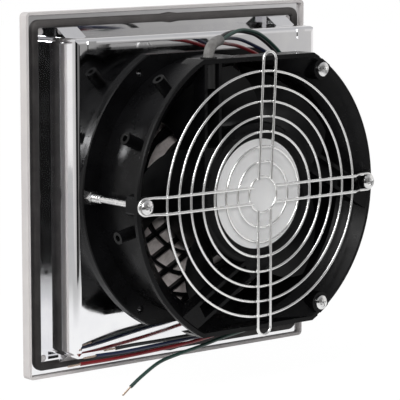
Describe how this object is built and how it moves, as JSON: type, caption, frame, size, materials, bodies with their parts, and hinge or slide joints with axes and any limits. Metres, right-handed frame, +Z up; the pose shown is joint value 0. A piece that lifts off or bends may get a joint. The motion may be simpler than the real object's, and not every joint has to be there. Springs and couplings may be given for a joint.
{
  "type": "cabinet filter fan",
  "caption": "Snap-in filter fan for a control cabinet: square bezel with louvred cover and filter mat, mirror-bright box, and a guarded axial fan with free leads.",
  "frame": {"origin": "centre of the panel seat, in the plane where the bezel's lip and gasket meet the cabinet wall", "axes": "+Z up, +Y through the wall into the cabinet along the fan's axis, +X across the panel"},
  "size_m": [0.204, 0.0922, 0.2049],
  "materials": {
    "bezel_paint": "fine matt light grey plastic",
    "mirror_coat": "mirror-bright metal coat on the moulded box",
    "gasket_foam": "dark grey cellular rubber",
    "filter_fleece": "pale taupe fleece",
    "black_moulding": "satin black plastic",
    "black_casting": "satin black paint on a cast frame",
    "label_foil": "satin silver foil, bare",
    "stator_steel": "stacked sheet steel",
    "coil_copper": "enamelled copper wire",
    "bearing_steel": "ground steel",
    "rotor_steel": "black coated steel",
    "guard_chrome": "bright plated wire",
    "bolt_zinc": "bright zinc",
    "grommet_rubber": "black rubber",
    "sleeve_grey": "grey woven sleeve",
    "lead_black": "soft black insulation",
    "lead_green": "soft dark green insulation",
    "lead_blue": "soft dark blue insulation",
    "lead_red": "soft red insulation",
    "bare_wire": "stripped stranded copper"
  },
  "bodies": {
    "fixed_parts": {"bezel": "bezel_paint", "housing": "mirror_coat", "gasket": "gasket_foam", "filter_mat": "filter_fleece", "intake_lattice": "black_moulding", "fan_frame": "black_casting", "fan_barrel": "black_casting", "fan_flange": "black_casting", "motor_spider": "black_casting", "motor_label": "label_foil", "stator_core": "stator_steel", "stator_coils": "coil_copper", "front_bearing": "bearing_steel", "rear_bearing": "bearing_steel", "preload_spring": "bearing_steel", "guard_rings": "guard_chrome", "guard_legs": "guard_chrome", "guard_bolts": "bolt_zinc", "corner_bolts": "bolt_zinc", "bolt_nuts": "bolt_zinc", "cable_grommet": "grommet_rubber", "cable_sleeve": "sleeve_grey", "lead_black_wire": "lead_black", "lead_green_wire": "lead_green", "lead_blue_wire": "lead_blue", "lead_red_wire": "lead_red", "stripped_ends": "bare_wire"},
    "rotor": {"shaft": "bearing_steel", "shaft_clip": "bearing_steel", "rotor_cup": "rotor_steel", "impeller": "black_moulding"},
    "cover": {"front_cover": "bezel_paint", "cover_pins": "bezel_paint"},
    "latch_ul": {"latch_upper_left": "mirror_coat"},
    "latch_ur": {"latch_upper_right": "mirror_coat"},
    "latch_ll": {"latch_lower_left": "mirror_coat"},
    "latch_lr": {"latch_lower_right": "mirror_coat"}
  },
  "joints": [
    {"name": "rotor_spin", "type": "hinge", "parent": "fixed_parts", "child": "rotor", "pos_m": [0, 0.05, 0.002], "axis": [0, 1, 0], "continuous": true},
    {"name": "cover_hinge", "type": "hinge", "parent": "fixed_parts", "child": "cover", "pos_m": [0, -0.0085, -0.0898], "axis": [1, 0, 0], "range_deg": [0, 90]},
    {"name": "latch_flex_ul", "type": "hinge", "parent": "fixed_parts", "child": "latch_ul", "pos_m": [0.077, 0.0203, 0.0872], "axis": [1, 0, 0], "range_deg": [0, 14], "stiffness_Nm_per_rad": 1.2},
    {"name": "latch_flex_ur", "type": "hinge", "parent": "fixed_parts", "child": "latch_ur", "pos_m": [-0.077, 0.0203, 0.0872], "axis": [1, 0, 0], "range_deg": [0, 14], "stiffness_Nm_per_rad": 1.2},
    {"name": "latch_flex_ll", "type": "hinge", "parent": "fixed_parts", "child": "latch_ll", "pos_m": [0.077, 0.0203, -0.0872], "axis": [-1, 0, 0], "range_deg": [0, 14], "stiffness_Nm_per_rad": 1.2},
    {"name": "latch_flex_lr", "type": "hinge", "parent": "fixed_parts", "child": "latch_lr", "pos_m": [-0.077, 0.0203, -0.0872], "axis": [-1, 0, 0], "range_deg": [0, 14], "stiffness_Nm_per_rad": 1.2}
  ]
}
